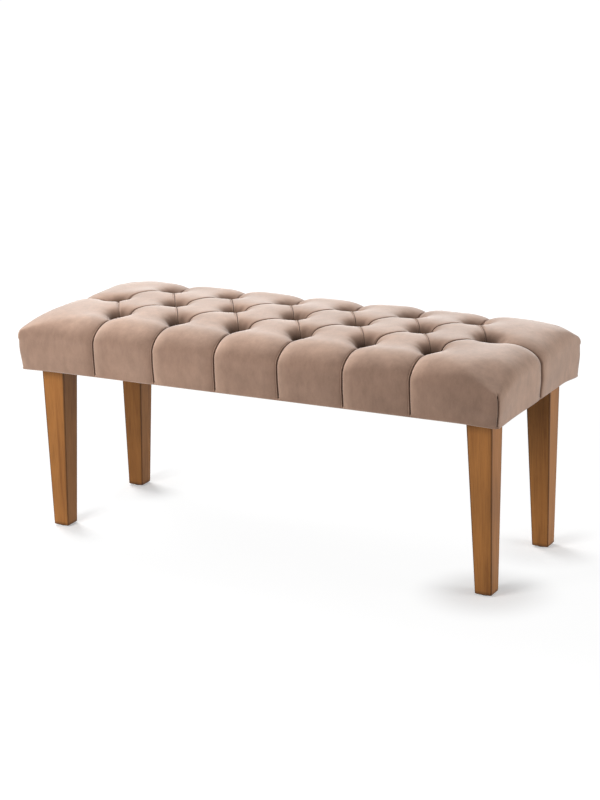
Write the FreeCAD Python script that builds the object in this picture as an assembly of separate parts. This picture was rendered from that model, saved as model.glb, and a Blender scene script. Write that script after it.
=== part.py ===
import FreeCAD, Part

import math
import os

from FreeCAD import Placement, Rotation, Vector

# Upholstered bench with a deep tufted seat on four tapered legs.
# Millimetres. The origin is on the floor under the middle of the seat.
# X runs along the length, Y from the front to the back, Z up.

# Overall sizes
SEAT_LENGTH = 1000.0  # over the cover, at its hem
SEAT_DEPTH = 400.0
HEM_HEIGHT = 332.0  # underside of the cover's turned-in hem
CUSHION_HEIGHT = 113.0  # hem to the top of the pillows

# Soft layers
COVER_THICKNESS = 1.5
WADDING_THICKNESS = 10.5
PINCHED_WADDING = 3.5  # at the tufts and pleats
PINCHED_FOAM = 6.5  # under a button
SIDE_BULGE = 3.0  # how far the sides stand out above the drawn-in hem
BULGE_RISE = 45.0  # height over the hem where they do
SHOULDER_HEIGHT = 33.0  # of the rounded top edge
SHOULDER_WIDTH = 75.0
DOME_HEIGHT = 5.0  # further rise from the shoulder to the middle of the top
DOME_WIDTH = 78.0
SHOULDER_ANGLES = (0, 15, 30, 45, 60, 75, 90)
CORNER_RADIUS = 8.0
CORNER_GROWTH = 90.0  # how much larger the corner radius gets over the shoulder
CORNER_EASE = 20.0  # inset over which most of that growth comes
CORNER_LIMIT = 0.9  # share of a level's half depth that its corner radius may take

# Tufts and pleats
TUFTS_IN_MIDDLE_ROW = 7
TUFT_END_MARGIN = 104.0  # hem to the nearest tuft, at the ends
TUFT_SIDE_MARGIN = 100.0  # and at the front and back
PIT_MOUTH_RADIUS = 38.0
BUTTON_GAP = 1.0  # round a button on the floor of its pit
PIT_FLANK_BOW = 7.0
DIAGONAL_HALF_WIDTH = 14.0  # pleats between two tufts
DIAGONAL_DEPTH = 4.5
DIAGONAL_BOW = 0.9
PLEAT_HALF_WIDTH = 30.0  # pleats from a tuft to the hem: on top
PLEAT_DEPTH = 10.0
PLEAT_FLANK_BOW = 2.2
SIDE_PLEAT_HALF_WIDTH = 12.0  # and on the sides
SIDE_PLEAT_DEPTH = 6.0
SIDE_PLEAT_BOW = 1.2
CUTTER_STAND_OUT = 1.5  # how far a pleat's cutter starts above the surface
FOLD_HALF_WIDTH = 2.5  # corner folds
FOLD_DEPTH = 4.0

# Buttons, twine and tie washers
BUTTON_RADIUS = 11.0
BUTTON_HEIGHT = 6.0
BUTTON_ROUNDING = 4.0
TWINE_RADIUS = 1.0
KNOT_RADIUS = 2.5
TIE_WASHER_RADIUS = 12.0
TIE_WASHER_THICKNESS = 1.6
DECK_TIE_HOLE_RADIUS = 3.0

# Wooden frame
RAIL_THICKNESS = 22.0
RAIL_HEIGHT = 45.0
DECK_THICKNESS = 9.0
BLOCK_SIZE = 58.0
DUST_COVER_THICKNESS = 0.8
DUST_COVER_SETBACK = 2.0  # rails' outer faces to the dust cover's edge
HEM_ON_RAIL = 21.0  # width of the cover's hem turned in over the rails' undersides

# Legs
LEG_TOP_SIZE = 50.0
LEG_FOOT_SIZE = 33.0
LEG_EDGE_RADIUS = 2.0
LEG_FOOT_CHAMFER = 1.5
LEG_FROM_END_RAIL = 17.5  # rail's inner face to the centre of the leg's top
LEG_FROM_LONG_RAIL = 25.5
LEG_SPLAY = 5.5  # how far the foot stands out from the top, along the seat
LEG_TUCK = 1.0  # and in, across it

# Hardware
BOLT_RADIUS = 3.9
BOLT_IN_LEG = 32.0
BOLT_IN_BLOCK = 24.0
INSERT_RADIUS = 6.0
INSERT_LENGTH = 26.0
GLIDE_RADIUS = 11.0
GLIDE_HEIGHT = 2.5
GLIDE_NAIL_RADIUS = 1.2
GLIDE_NAIL_LENGTH = 16.0
SCREW_RADIUS = 2.0
SCREW_HEAD_RADIUS = 4.0
SCREW_HEAD_HEIGHT = 3.0
SCREW_POINT = 5.0
RAIL_SCREW_BITE = 28.0  # length of a screw in the second piece
BLOCK_SCREW_BITE = 12.0
DECK_SCREW_BITE = 21.0
SCREW_EDGE_GAP = 11.0  # rail's top or bottom edge to a screw's axis
DECK_SCREWS_PER_LONG_RAIL = 5
DECK_SCREWS_PER_END_RAIL = 2
STAPLE_WIDTH = 10.0
STAPLE_WIRE = 0.6
STAPLE_WIRE_WIDTH = 1.2
STAPLE_LEG = 9.0
STAPLE_PITCH = 75.0
COVER_STAPLE_SETBACK = 15.0  # rails' outer faces to the row of staples
DUST_STAPLE_SETBACK = 8.0

CLEARANCE = 0.1  # between a fastener or a rod and its hole
PAST = 2.0  # how far a cutter runs past the face it cuts

# Heights and half sizes that follow from them
HALF_LENGTH = SEAT_LENGTH / 2
HALF_DEPTH = SEAT_DEPTH / 2
CROWN_HEIGHT = HEM_HEIGHT + CUSHION_HEIGHT
SHOULDER_TOP = CUSHION_HEIGHT - DOME_HEIGHT  # heights over the hem where the shoulder ends
SHOULDER_RISE = SHOULDER_TOP - SHOULDER_HEIGHT  # and where it starts
LEG_TOP = HEM_HEIGHT - DUST_COVER_THICKNESS
RAIL_BOTTOM = HEM_HEIGHT + COVER_THICKNESS
DECK_BOTTOM = RAIL_BOTTOM + RAIL_HEIGHT
DECK_TOP = DECK_BOTTOM + DECK_THICKNESS
PIT_FLOOR_RADIUS = BUTTON_RADIUS + BUTTON_GAP
PIT_FLOOR_HEIGHT = DECK_TOP + PINCHED_FOAM + PINCHED_WADDING + COVER_THICKNESS
FRAME_INSET = COVER_THICKNESS + WADDING_THICKNESS  # hem to the rails' outer faces and the foam
FRAME_X = HALF_LENGTH - FRAME_INSET
FRAME_Y = HALF_DEPTH - FRAME_INSET
INNER_X = FRAME_X - RAIL_THICKNESS
INNER_Y = FRAME_Y - RAIL_THICKNESS
TUFT_PITCH = (SEAT_LENGTH - 2 * TUFT_END_MARGIN) / (TUFTS_IN_MIDDLE_ROW - 1)
TUFT_ROW_Y = HALF_DEPTH - TUFT_SIDE_MARGIN
CROSS_RAIL_X = 1.25 * TUFT_PITCH  # midway between a middle tuft and a front one
RAIL_SCREW_LENGTH = RAIL_THICKNESS + RAIL_SCREW_BITE
BLOCK_SCREW_LENGTH = BLOCK_SIZE + BLOCK_SCREW_BITE
DECK_SCREW_LENGTH = DECK_THICKNESS + DECK_SCREW_BITE
SIDE_NAMES = {-1: "left", 1: "right"}
FACE_NAMES = {-1: "front", 1: "back"}


def block(x0, x1, y0, y1, z0, z1):
    return Part.makeBox(x1 - x0, y1 - y0, z1 - z0, Vector(x0, y0, z0))


def rod(radius, x, y, z0, z1):
    return Part.makeCylinder(radius, z1 - z0, Vector(x, y, z0))


def turned(shape, degrees, x=0.0, y=0.0, z=0.0):
    """The shape turned about the vertical axis and then moved."""
    copy = shape.copy()
    copy.Placement = Placement(Vector(x, y, z), Rotation(Vector(0, 0, 1), degrees)).multiply(copy.Placement)
    return copy


def group(solids):
    return Part.makeCompound(list(solids))


def middle_row():
    first = -(TUFTS_IN_MIDDLE_ROW - 1) / 2
    return [(first + i) * TUFT_PITCH for i in range(TUFTS_IN_MIDDLE_ROW)]


def outer_row():
    first = -(TUFTS_IN_MIDDLE_ROW - 2) / 2
    return [(first + i) * TUFT_PITCH for i in range(TUFTS_IN_MIDDLE_ROW - 1)]


def tuft_points():
    points = [(x, 0.0) for x in middle_row()]
    for y in (-TUFT_ROW_Y, TUFT_ROW_Y):
        points += [(x, y) for x in outer_row()]
    return points


# The cushion's outline

def shoulder_point(angle, shrink):
    """Inset, height over the hem and outward normal of the shoulder's ellipse at an angle from its foot."""
    cosine = math.cos(math.radians(angle))
    sine = math.sin(math.radians(angle))
    slope_in = cosine / SHOULDER_WIDTH
    slope_up = sine / SHOULDER_HEIGHT
    size = math.hypot(slope_in, slope_up)
    normal = (-slope_in / size, slope_up / size)
    inset = SHOULDER_WIDTH * (1 - cosine) - SIDE_BULGE - shrink * normal[0]
    height = SHOULDER_RISE + SHOULDER_HEIGHT * sine - shrink * normal[1]
    return inset, height, normal


def top_height(inset):
    """Height over the hem of the domed top, at an inset that lies inside the shoulder."""
    share = (inset - SHOULDER_WIDTH + SIDE_BULGE) / DOME_WIDTH
    return SHOULDER_TOP + DOME_HEIGHT * min(share, 1.0)


def profile(shrink, bottom):
    """Inset and height over the hem of each level, from the bottom up the side and over the top."""
    levels = [(shrink, bottom), (shrink - SIDE_BULGE, BULGE_RISE)]
    for angle in SHOULDER_ANGLES:
        inset, height, normal = shoulder_point(angle, shrink)
        levels.append((inset, height))
    levels.append((SHOULDER_WIDTH - SIDE_BULGE + DOME_WIDTH, CUSHION_HEIGHT - shrink))
    return levels


def outline(inset, z, radius):
    """A level rectangle with rounded corners."""
    x = HALF_LENGTH - inset
    y = HALF_DEPTH - inset
    edges = []
    for turn in range(4):
        rotation = Rotation(Vector(0, 0, 1), 90 * turn)
        along, across = (x, y) if turn % 2 == 0 else (y, x)
        bend = radius * (1 - math.sqrt(0.5))
        start = Vector(radius - along, -across, z)
        end = Vector(along - radius, -across, z)
        middle = Vector(along - bend, bend - across, z)
        finish = Vector(along, radius - across, z)
        points = [rotation.multVec(point) for point in (start, end, middle, finish)]
        edges.append(Part.LineSegment(points[0], points[1]).toShape())
        edges.append(Part.Arc(points[1], points[2], points[3]).toShape())
    return Part.Wire(edges)


def cushion_block(shrink, bottom=0.0):
    """The crowned block with drawn-in sides, smaller all over by shrink, before any tuft is pulled in."""
    wires = []
    for inset, height in profile(shrink, bottom):
        growth = CORNER_GROWTH * (1 - math.exp(-max(inset - shrink, 0.0) / CORNER_EASE))
        radius = min(CORNER_RADIUS + growth, CORNER_LIMIT * (HALF_DEPTH - inset))
        wires.append(outline(inset, HEM_HEIGHT + height, radius))
    return Part.makeLoft(wires, True, True)


# Cutters for the tufts and pleats, larger all round by grow

def bowed(start, end, bow):
    """An arc from start to end whose middle stands off the chord by the vector bow."""
    return Part.Arc(start, (start + end) * 0.5 + bow, end).toShape()


def tuft_top(x, y):
    """Height of the untufted top over a tuft."""
    return HEM_HEIGHT + top_height(min(HALF_LENGTH - abs(x), HALF_DEPTH - abs(y)))


def pit_cutter(grow):
    """The funnel that a button pulls into the seat, with the twine's hole under it."""
    top = CROWN_HEIGHT + CUTTER_STAND_OUT
    floor = PIT_FLOOR_HEIGHT - grow
    mouth = Vector(PIT_MOUTH_RADIUS + grow, 0, top)
    foot = Vector(PIT_FLOOR_RADIUS + grow, 0, floor)
    run = (mouth - foot).normalize()
    flank = bowed(foot, mouth, Vector(-run.z, 0, run.x) * PIT_FLANK_BOW)
    hole = TWINE_RADIUS + CLEARANCE
    floor_edge = Part.makePolygon([Vector(hole, 0, DECK_BOTTOM), Vector(hole, 0, floor), foot])
    hole_foot = Vector(hole, 0, DECK_BOTTOM)
    lid = Part.makePolygon([mouth, Vector(0, 0, top), Vector(0, 0, DECK_BOTTOM), hole_foot])
    wire = Part.Wire(floor_edge.Edges + [flank] + lid.Edges)
    return Part.Face(wire).revolve(Vector(0, 0, 0), Vector(0, 0, 1), 360)


def pleat_section(origin, across, out, half_width, depth, bow):
    """A pleat's section at a point of the surface: two bowed flanks that meet at the fold."""
    fold = origin - out * depth
    left = origin + out * CUTTER_STAND_OUT - across * half_width
    right = origin + out * CUTTER_STAND_OUT + across * half_width
    left_run = (left - fold).normalize()
    right_run = (right - fold).normalize()
    left_bow = (out - left_run * out.dot(left_run)).normalize() * bow
    right_bow = (out - right_run * out.dot(right_run)).normalize() * bow
    return Part.Wire([
        bowed(left, fold, left_bow),
        bowed(fold, right, right_bow),
        Part.LineSegment(right, left).toShape(),
    ])


def diagonal_pleat(start, end, grow):
    """The pleat between two tufts."""
    start = Vector(start[0], start[1], tuft_top(*start))
    end = Vector(end[0], end[1], tuft_top(*end))
    across = Vector(start.y - end.y, end.x - start.x, 0).normalize()
    wire = pleat_section(start, across, Vector(0, 0, 1), DIAGONAL_HALF_WIDTH + grow, DIAGONAL_DEPTH + grow,
                         DIAGONAL_BOW)
    return Part.Face(wire).extrude(end - start)


def edge_pleat(half_span, margin, grow):
    """The pleat from an edge tuft over the shoulder to the hem, on the front of a seat half_span deep."""
    stations = [(margin, top_height(margin), (0.0, 1.0), 1.0)]
    for angle in reversed(SHOULDER_ANGLES):
        inset, height, normal = shoulder_point(angle, 0.0)
        share = (angle / 90) ** 2
        stations.append((inset, height, normal, share))
    stations.append((-SIDE_BULGE, BULGE_RISE, (-1.0, 0.0), 0.0))
    stations.append((0.0, -PAST, (-1.0, 0.0), 0.0))
    sections = []
    for inset, height, normal, share in stations:
        origin = Vector(0, inset - half_span, HEM_HEIGHT + height)
        out = Vector(0, normal[0], normal[1])
        half_width = SIDE_PLEAT_HALF_WIDTH + share * (PLEAT_HALF_WIDTH - SIDE_PLEAT_HALF_WIDTH)
        depth = SIDE_PLEAT_DEPTH + share * (PLEAT_DEPTH - SIDE_PLEAT_DEPTH)
        bow = SIDE_PLEAT_BOW + share * (PLEAT_FLANK_BOW - SIDE_PLEAT_BOW)
        sections.append(pleat_section(origin, Vector(1, 0, 0), out, half_width + grow, depth + grow, bow))
    return Part.makeLoft(sections, True, True)


def corner_fold(side_x, side_y):
    """The vertical fold at a corner of the cover."""
    out = Vector(side_x, side_y, 0).normalize()
    across = Vector(-out.y, out.x, 0)
    corner = Vector(side_x * HALF_LENGTH, side_y * HALF_DEPTH, HEM_HEIGHT - PAST)
    mouth = corner + out * SIDE_BULGE
    fold = corner - out * (CORNER_RADIUS * (math.sqrt(2) - 1) + FOLD_DEPTH)
    points = [mouth - across * FOLD_HALF_WIDTH, fold, mouth + across * FOLD_HALF_WIDTH]
    wire = Part.makePolygon(points + points[:1])
    return Part.Face(wire).extrude(Vector(0, 0, SHOULDER_RISE + PAST))


def cutters(grow):
    """Every pit and pleat, as a list of solids."""
    pit = pit_cutter(grow)
    solids = [turned(pit, 0, x, y) for x, y in tuft_points()]
    for side in (-1, 1):
        for x in outer_row():
            for step in (-1, 1):
                neighbour = (x + step * TUFT_PITCH / 2, 0.0)
                solids.append(diagonal_pleat((x, side * TUFT_ROW_Y), neighbour, grow))
    front = edge_pleat(HALF_DEPTH, TUFT_SIDE_MARGIN, grow)
    end = edge_pleat(HALF_LENGTH, TUFT_END_MARGIN, grow)
    for x in outer_row():
        solids.append(turned(front, 0, x))
        solids.append(turned(front, 180, x))
    solids.append(turned(end, -90))
    solids.append(turned(end, 90))
    return solids


def cushion_layers():
    """The cover, the wadding and the foam."""
    folds = [corner_fold(x, y) for x in (-1, 1) for y in (-1, 1)]
    outside = cushion_block(0.0).cut(cutters(0.0) + folds)
    inside = cushion_block(COVER_THICKNESS, COVER_THICKNESS).cut(cutters(COVER_THICKNESS))
    mouth_x = FRAME_X - HEM_ON_RAIL
    mouth_y = FRAME_Y - HEM_ON_RAIL
    mouth = block(-mouth_x, mouth_x, -mouth_y, mouth_y, HEM_HEIGHT - PAST, RAIL_BOTTOM + PAST)
    above_deck = block(-HALF_LENGTH, HALF_LENGTH, -HALF_DEPTH, HALF_DEPTH, DECK_TOP, CROWN_HEIGHT)
    foam = cushion_block(FRAME_INSET).common(above_deck).cut(cutters(COVER_THICKNESS + PINCHED_WADDING))
    frame_space = block(-FRAME_X, FRAME_X, -FRAME_Y, FRAME_Y, RAIL_BOTTOM - PAST, DECK_TOP)
    cover = outside.cut([inside, mouth])
    wadding = inside.cut([foam, frame_space])
    return cover, wadding, foam


# Buttons and their ties

def button():
    """A covered button, flat below and rounded above, that sits on the floor of a pit."""
    disc = rod(BUTTON_RADIUS, 0, 0, PIT_FLOOR_HEIGHT, PIT_FLOOR_HEIGHT + BUTTON_HEIGHT)
    rim = [edge for edge in disc.Edges if edge.BoundBox.ZMin > PIT_FLOOR_HEIGHT]
    return disc.makeFillet(BUTTON_ROUNDING, rim)


def twine():
    """Twine from a button down through the seat, knotted under its washer."""
    knot_top = DECK_BOTTOM - TIE_WASHER_THICKNESS
    line = rod(TWINE_RADIUS, 0, 0, knot_top - KNOT_RADIUS, PIT_FLOOR_HEIGHT)
    knot = Part.makeCone(KNOT_RADIUS / 2, KNOT_RADIUS, KNOT_RADIUS, Vector(0, 0, knot_top - KNOT_RADIUS))
    return line.fuse(knot).removeSplitter()


def tie_washer():
    bottom = DECK_BOTTOM - TIE_WASHER_THICKNESS
    disc = rod(TIE_WASHER_RADIUS, 0, 0, bottom, DECK_BOTTOM)
    return disc.cut(rod(TWINE_RADIUS + CLEARANCE, 0, 0, bottom - PAST, DECK_BOTTOM + PAST))


# Screws, staples, bolts and glides

def screw(length, head, direction, grow=0.0):
    """A countersunk wood screw with the centre of its head at the point head, pointing along direction."""
    radius = SCREW_RADIUS + grow
    head_radius = SCREW_HEAD_RADIUS + grow
    cone = Part.makeCone(head_radius, radius, SCREW_HEAD_HEIGHT, head, direction)
    shank_length = length - SCREW_HEAD_HEIGHT - SCREW_POINT + grow
    shank = Part.makeCylinder(radius, shank_length, head + direction * SCREW_HEAD_HEIGHT, direction)
    point_start = head + direction * (length - SCREW_POINT + grow)
    point = Part.makeCone(radius, radius / 4, SCREW_POINT, point_start, direction)
    return cone.fuse([shank, point]).removeSplitter()


def rail_screw_places():
    """Screws through the long rails into the ends of the end rails: two at each corner."""
    places = []
    for side_x in (-1, 1):
        for side_y in (-1, 1):
            for z in (RAIL_BOTTOM + SCREW_EDGE_GAP, DECK_BOTTOM - SCREW_EDGE_GAP):
                x = side_x * (FRAME_X - RAIL_THICKNESS / 2)
                places.append((Vector(x, side_y * FRAME_Y, z), Vector(0, -side_y, 0)))
    return places


def cross_rail_screw_places():
    """Screws through the long rails into the ends of the cross rails."""
    places = []
    for side_x in (-1, 1):
        for side_y in (-1, 1):
            for z in (RAIL_BOTTOM + SCREW_EDGE_GAP, DECK_BOTTOM - SCREW_EDGE_GAP):
                places.append((Vector(side_x * CROSS_RAIL_X, side_y * FRAME_Y, z), Vector(0, -side_y, 0)))
    return places


def block_screw_places():
    """Screws through each corner block, one into the long rail and one into the end rail."""
    places = []
    for side_x in (-1, 1):
        for side_y in (-1, 1):
            along_y = Vector(side_x * (INNER_X - SCREW_EDGE_GAP), side_y * (INNER_Y - BLOCK_SIZE),
                             DECK_BOTTOM - SCREW_EDGE_GAP)
            along_x = Vector(side_x * (INNER_X - BLOCK_SIZE), side_y * (INNER_Y - SCREW_EDGE_GAP),
                             RAIL_BOTTOM + RAIL_HEIGHT / 2)
            places.append((along_y, Vector(0, side_y, 0)))
            places.append((along_x, Vector(side_x, 0, 0)))
    return places


def deck_screw_places():
    """Screws down through the deck into the four rails."""
    down = Vector(0, 0, -1)
    rail_y = FRAME_Y - RAIL_THICKNESS / 2
    rail_x = FRAME_X - RAIL_THICKNESS / 2
    places = []
    for side in (-1, 1):
        for i in range(DECK_SCREWS_PER_LONG_RAIL):
            x = INNER_X * ((2 * i + 1) / DECK_SCREWS_PER_LONG_RAIL - 1)
            places.append((Vector(x, side * rail_y, DECK_TOP), down))
        for i in range(DECK_SCREWS_PER_END_RAIL):
            y = INNER_Y * ((2 * i + 1) / DECK_SCREWS_PER_END_RAIL - 1)
            places.append((Vector(side * rail_x, y, DECK_TOP), down))
    return places


def screws(places, length, grow=0.0):
    return [screw(length, head, direction, grow) for head, direction in places]


def staple_places(setback):
    """Middle and turn of each staple of a row that runs round under the rails."""
    places = []
    for span, offset, turn in ((FRAME_X, FRAME_Y, 0), (FRAME_Y, FRAME_X, 90)):
        reach = span - setback - STAPLE_PITCH / 2
        gaps = max(int(round(2 * reach / STAPLE_PITCH)), 1)
        for i in range(gaps + 1):
            along = -reach + 2 * reach * i / gaps
            for side in (-1, 1):
                across = side * (offset - setback)
                x, y = (along, across) if turn == 0 else (across, along)
                places.append((x, y, turn))
    return places


def staple(top, grow=0.0):
    """A staple driven upwards, with the outer face of its crown at the height top."""
    half = STAPLE_WIDTH / 2 + grow
    side = STAPLE_WIRE_WIDTH / 2 + grow
    tip = top + STAPLE_WIRE + STAPLE_LEG + grow
    crown = block(-half, half, -side, side, top - grow, top + STAPLE_WIRE + grow)
    width = STAPLE_WIRE + 2 * grow
    legs = [block(x, x + width, -side, side, top, tip) for x in (-half, half - width)]
    return crown.fuse(legs).removeSplitter()


def staples(setback, top, grow=0.0):
    one = staple(top, grow)
    return [turned(one, turn, x, y) for x, y, turn in staple_places(setback)]


def hanger_bolt():
    return rod(BOLT_RADIUS, 0, 0, LEG_TOP - BOLT_IN_LEG, LEG_TOP + BOLT_IN_BLOCK)


def insert_nut():
    top = HEM_HEIGHT + INSERT_LENGTH
    sleeve = rod(INSERT_RADIUS, 0, 0, HEM_HEIGHT, top)
    return sleeve.cut(rod(BOLT_RADIUS + CLEARANCE, 0, 0, HEM_HEIGHT - PAST, top + PAST))


def glide():
    """A foot glide with a nail up into the leg."""
    pad = rod(GLIDE_RADIUS, 0, 0, 0, GLIDE_HEIGHT)
    nail = rod(GLIDE_NAIL_RADIUS, 0, 0, GLIDE_HEIGHT, GLIDE_HEIGHT + GLIDE_NAIL_LENGTH)
    return pad.fuse(nail).removeSplitter()


# Legs

def leg_outline(centre, half, radius, z):
    """A square with rounded corners about a centre."""
    edges = []
    bend = radius * (1 - math.sqrt(0.5))
    for turn in range(4):
        rotation = Rotation(Vector(0, 0, 1), 90 * turn)
        corners = [
            Vector(radius - half, -half, 0),
            Vector(half - radius, -half, 0),
            Vector(half - bend, bend - half, 0),
            Vector(half, radius - half, 0),
        ]
        points = [rotation.multVec(corner) + Vector(centre[0], centre[1], z) for corner in corners]
        edges.append(Part.LineSegment(points[0], points[1]).toShape())
        edges.append(Part.Arc(points[1], points[2], points[3]).toShape())
    return Part.Wire(edges)


def leg_top_centre(side_x, side_y):
    return side_x * (INNER_X - LEG_FROM_END_RAIL), side_y * (INNER_Y - LEG_FROM_LONG_RAIL)


def leg_foot_centre(side_x, side_y):
    x, y = leg_top_centre(side_x, side_y)
    return x + side_x * LEG_SPLAY, y - side_y * LEG_TUCK


def leg(side_x, side_y):
    """A tapered leg, bored for its hanger bolt above and for the glide's nail below."""
    top = leg_top_centre(side_x, side_y)
    foot = leg_foot_centre(side_x, side_y)
    half_foot = LEG_FOOT_SIZE / 2
    wires = [
        leg_outline(foot, half_foot - LEG_FOOT_CHAMFER, LEG_EDGE_RADIUS, GLIDE_HEIGHT),
        leg_outline(foot, half_foot, LEG_EDGE_RADIUS, GLIDE_HEIGHT + LEG_FOOT_CHAMFER),
        leg_outline(top, LEG_TOP_SIZE / 2, LEG_EDGE_RADIUS, LEG_TOP),
    ]
    body = Part.makeLoft(wires, True, True)
    bore = rod(BOLT_RADIUS + CLEARANCE, top[0], top[1], LEG_TOP - BOLT_IN_LEG - CLEARANCE, LEG_TOP + PAST)
    nail_top = GLIDE_HEIGHT + GLIDE_NAIL_LENGTH + CLEARANCE
    nail_hole = rod(GLIDE_NAIL_RADIUS + CLEARANCE, foot[0], foot[1], GLIDE_HEIGHT - PAST, nail_top)
    return body.cut([bore, nail_hole])


# Frame, deck and dust cover

def corner_block(side_x, side_y):
    """A block in a corner of the frame, bored from below for the leg's insert and bolt."""
    x0, x1 = sorted((side_x * (INNER_X - BLOCK_SIZE), side_x * INNER_X))
    y0, y1 = sorted((side_y * (INNER_Y - BLOCK_SIZE), side_y * INNER_Y))
    x, y = leg_top_centre(side_x, side_y)
    solid = block(x0, x1, y0, y1, HEM_HEIGHT, DECK_BOTTOM)
    bore = rod(INSERT_RADIUS + CLEARANCE, x, y, HEM_HEIGHT - PAST, HEM_HEIGHT + INSERT_LENGTH)
    return solid.cut(bore)


def seat_deck():
    board = block(-FRAME_X, FRAME_X, -FRAME_Y, FRAME_Y, DECK_BOTTOM, DECK_TOP)
    holes = [rod(DECK_TIE_HOLE_RADIUS, x, y, DECK_BOTTOM - PAST, DECK_TOP + PAST) for x, y in tuft_points()]
    return board.cut(holes)


def dust_cover():
    x = FRAME_X - DUST_COVER_SETBACK
    y = FRAME_Y - DUST_COVER_SETBACK
    sheet = block(-x, x, -y, y, LEG_TOP, HEM_HEIGHT)
    holes = []
    for side_x in (-1, 1):
        for side_y in (-1, 1):
            cx, cy = leg_top_centre(side_x, side_y)
            holes.append(rod(BOLT_RADIUS + CLEARANCE, cx, cy, LEG_TOP - PAST, HEM_HEIGHT + PAST))
    return sheet.cut(holes)


def build():
    """Every node by name."""
    corners = [(side_x, side_y) for side_x in (-1, 1) for side_y in (-1, 1)]
    cover, wadding, foam = cushion_layers()
    nodes = {"velvet_cover": cover, "fibre_wadding": wadding, "foam_core": foam}

    dust_crown = LEG_TOP - STAPLE_WIRE
    dust_staple_holes = staples(DUST_STAPLE_SETBACK, dust_crown, CLEARANCE)
    staple_holes = staples(COVER_STAPLE_SETBACK, HEM_HEIGHT, CLEARANCE) + dust_staple_holes
    nodes["velvet_cover"] = cover.cut(staple_holes)
    nodes["cover_staples"] = group(staples(COVER_STAPLE_SETBACK, HEM_HEIGHT))
    nodes["dust_cover"] = dust_cover().cut(dust_staple_holes)
    nodes["dust_cover_staples"] = group(staples(DUST_STAPLE_SETBACK, dust_crown))

    rail_holes = screws(rail_screw_places(), RAIL_SCREW_LENGTH, CLEARANCE)
    cross_holes = screws(cross_rail_screw_places(), RAIL_SCREW_LENGTH, CLEARANCE)
    block_holes = screws(block_screw_places(), BLOCK_SCREW_LENGTH, CLEARANCE)
    deck_holes = screws(deck_screw_places(), DECK_SCREW_LENGTH, CLEARANCE)
    frame_holes = rail_holes + cross_holes + block_holes + deck_holes + staple_holes
    for side in (-1, 1):
        y0, y1 = sorted((side * INNER_Y, side * FRAME_Y))
        rail = block(-FRAME_X, FRAME_X, y0, y1, RAIL_BOTTOM, DECK_BOTTOM)
        nodes[FACE_NAMES[side] + "_rail"] = rail.cut(frame_holes)
        x0, x1 = sorted((side * INNER_X, side * FRAME_X))
        end_rail = block(x0, x1, -INNER_Y, INNER_Y, RAIL_BOTTOM, DECK_BOTTOM)
        nodes[SIDE_NAMES[side] + "_end_rail"] = end_rail.cut(frame_holes)
        middle = side * CROSS_RAIL_X
        half = RAIL_THICKNESS / 2
        cross_rail = block(middle - half, middle + half, -INNER_Y, INNER_Y, RAIL_BOTTOM, DECK_BOTTOM)
        nodes[SIDE_NAMES[side] + "_cross_rail"] = cross_rail.cut(frame_holes)
    nodes["rail_screws"] = group(screws(rail_screw_places(), RAIL_SCREW_LENGTH))
    nodes["cross_rail_screws"] = group(screws(cross_rail_screw_places(), RAIL_SCREW_LENGTH))
    nodes["corner_block_screws"] = group(screws(block_screw_places(), BLOCK_SCREW_LENGTH))
    nodes["seat_deck"] = seat_deck().cut(deck_holes)
    nodes["deck_screws"] = group(screws(deck_screw_places(), DECK_SCREW_LENGTH))

    nodes["tuft_buttons"] = group(turned(button(), 0, x, y) for x, y in tuft_points())
    nodes["tufting_twine"] = group(turned(twine(), 0, x, y) for x, y in tuft_points())
    nodes["tie_washers"] = group(turned(tie_washer(), 0, x, y) for x, y in tuft_points())

    for side_x, side_y in corners:
        place = FACE_NAMES[side_y] + "_" + SIDE_NAMES[side_x]
        nodes["leg_" + place] = leg(side_x, side_y)
        nodes["corner_block_" + place] = corner_block(side_x, side_y).cut(block_holes)
    tops = [leg_top_centre(*corner) for corner in corners]
    feet = [leg_foot_centre(*corner) for corner in corners]
    nodes["hanger_bolts"] = group(turned(hanger_bolt(), 0, x, y) for x, y in tops)
    nodes["threaded_inserts"] = group(turned(insert_nut(), 0, x, y) for x, y in tops)
    nodes["foot_glides"] = group(turned(glide(), 0, x, y) for x, y in feet)
    return nodes


os.makedirs("parts", exist_ok=True)
for name, shape in sorted(build().items()):
    shape.exportStep("parts/" + name + ".step")
    print(name, len(shape.Solids), shape.isValid(), round(shape.Volume / 1000, 2))
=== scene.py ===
import math
from collections import Counter

import bmesh
import bpy
import numpy as np
from mathutils import Matrix, Vector


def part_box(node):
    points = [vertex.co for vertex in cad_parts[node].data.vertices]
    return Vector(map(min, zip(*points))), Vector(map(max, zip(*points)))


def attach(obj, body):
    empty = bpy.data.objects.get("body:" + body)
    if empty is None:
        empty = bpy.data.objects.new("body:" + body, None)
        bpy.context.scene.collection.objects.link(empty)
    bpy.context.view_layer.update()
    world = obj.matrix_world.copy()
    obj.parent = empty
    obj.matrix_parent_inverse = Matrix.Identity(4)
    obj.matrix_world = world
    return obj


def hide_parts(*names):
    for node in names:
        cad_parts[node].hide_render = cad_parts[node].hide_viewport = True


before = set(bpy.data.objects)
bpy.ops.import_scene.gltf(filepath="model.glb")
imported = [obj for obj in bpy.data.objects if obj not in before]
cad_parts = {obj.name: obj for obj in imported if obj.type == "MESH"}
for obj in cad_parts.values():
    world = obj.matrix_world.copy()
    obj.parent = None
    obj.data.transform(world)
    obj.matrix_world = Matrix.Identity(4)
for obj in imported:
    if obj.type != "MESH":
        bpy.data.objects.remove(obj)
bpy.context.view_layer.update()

# Rails, cross rails and corner blocks
# A box frame of planed pine, butted and screwed at the corners, with a cross rail near each third of
# its length and a block in each corner for a leg. The cover and the dust cover hide all of it.

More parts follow.
